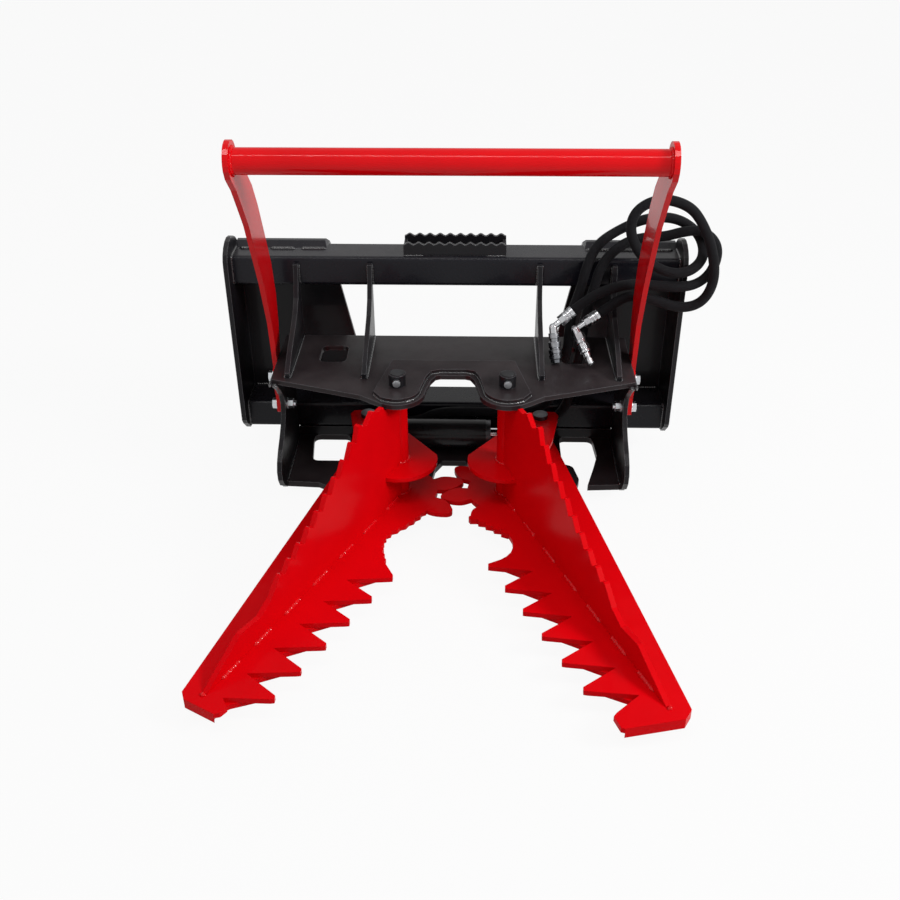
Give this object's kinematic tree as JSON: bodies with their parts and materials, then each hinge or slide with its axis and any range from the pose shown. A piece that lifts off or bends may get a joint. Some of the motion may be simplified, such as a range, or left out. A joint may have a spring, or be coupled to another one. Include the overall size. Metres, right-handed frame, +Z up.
{
  "type": "tree puller attachment",
  "caption": "Skid-steer tree puller: toothed, geared jaws closed by a hydraulic cylinder, under a deck with side plates, brush guard and quick-attach frame.",
  "frame": {"origin": "on the ground, in the middle of the part's footprint with the jaws as stored", "axes": "+X to the right in the picture's view, +Y towards the machine, +Z up"},
  "size_m": [1.2472, 1.2203, 0.9586],
  "materials": {
    "black_paint": "semi-gloss black powder coat",
    "red_paint": "gloss red powder coat",
    "zinc": "bright zinc plate",
    "pin_steel": "oiled turned steel",
    "chrome_rod": "hard chrome",
    "hose_sleeve": "matt black textile sleeve over rubber hose",
    "fitting": "bright plated steel"
  },
  "bodies": {
    "frame": {"back_plate_left": "black_paint", "back_plate_right": "black_paint", "base_bosses": "black_paint", "base_plate": "black_paint", "base_web": "black_paint", "coupler_female": "fitting", "coupler_male": "fitting", "deck_doubler": "black_paint", "deck_plate": "black_paint", "end_elbow_45": "fitting", "end_elbow_90": "fitting", "end_plate_left": "black_paint", "end_plate_right": "black_paint", "guard_arm_left": "red_paint", "guard_arm_right": "red_paint", "guard_bolts": "zinc", "guard_tube": "red_paint", "gusset_inner_left": "black_paint", "gusset_inner_right": "black_paint", "gusset_outer_left": "black_paint", "gusset_outer_right": "black_paint", "hook_lip_left": "black_paint", "hook_lip_right": "black_paint", "hose_crimps": "fitting", "hose_long": "hose_sleeve", "hose_short": "hose_sleeve", "lower_tube": "black_paint", "pin_bolts": "zinc", "pin_collars": "black_paint", "pivot_pin_left": "pin_steel", "pivot_pin_right": "pin_steel", "side_plate_left": "black_paint", "side_plate_right": "black_paint", "step_end_caps": "black_paint", "step_front_bar": "black_paint", "step_rear_bar": "black_paint", "thrust_washers": "pin_steel", "top_tube": "black_paint"},
    "left_jaw": {"jaw_left_blade": "red_paint", "jaw_left_bottom_plate": "red_paint", "jaw_left_ear_plate": "red_paint", "jaw_left_hub": "red_paint", "jaw_left_top_plate": "red_paint", "ear_pin_left": "pin_steel"},
    "right_jaw": {"jaw_right_blade": "red_paint", "jaw_right_bottom_plate": "red_paint", "jaw_right_ear_plate": "red_paint", "jaw_right_hub": "red_paint", "jaw_right_top_plate": "red_paint", "ear_pin_right": "pin_steel"},
    "barrel": {"cylinder_barrel": "black_paint", "cylinder_gland": "pin_steel", "port_elbows": "fitting"},
    "rod": {"cylinder_rod": "chrome_rod", "cylinder_piston": "pin_steel"}
  },
  "joints": [
    {"name": "left_jaw_swing", "type": "hinge", "parent": "frame", "child": "left_jaw", "pos_m": [-0.13, 0.17815, 0.2], "axis": [0, 0, 1], "range_deg": [0, 23]},
    {"name": "right_jaw_swing", "type": "hinge", "parent": "frame", "child": "right_jaw", "pos_m": [0.13, 0.17815, 0.2], "axis": [0, 0, 1], "range_deg": [-23, 0]},
    {"name": "barrel_on_left_jaw", "type": "hinge", "parent": "left_jaw", "child": "barrel", "pos_m": [-0.226, 0.38515, 0.1], "axis": [0, 0, 1], "range_deg": [-23, 0]},
    {"name": "rod_on_right_jaw", "type": "hinge", "parent": "right_jaw", "child": "rod", "pos_m": [0.226, 0.38515, 0.1], "axis": [0, 0, 1], "range_deg": [0, 23]}
  ],
  "couplings": [
    {"joint": "right_jaw_swing", "follows": "left_jaw_swing", "ratio": -1},
    {"joint": "barrel_on_left_jaw", "follows": "left_jaw_swing", "ratio": -1},
    {"joint": "rod_on_right_jaw", "follows": "left_jaw_swing", "ratio": 1}
  ]
}
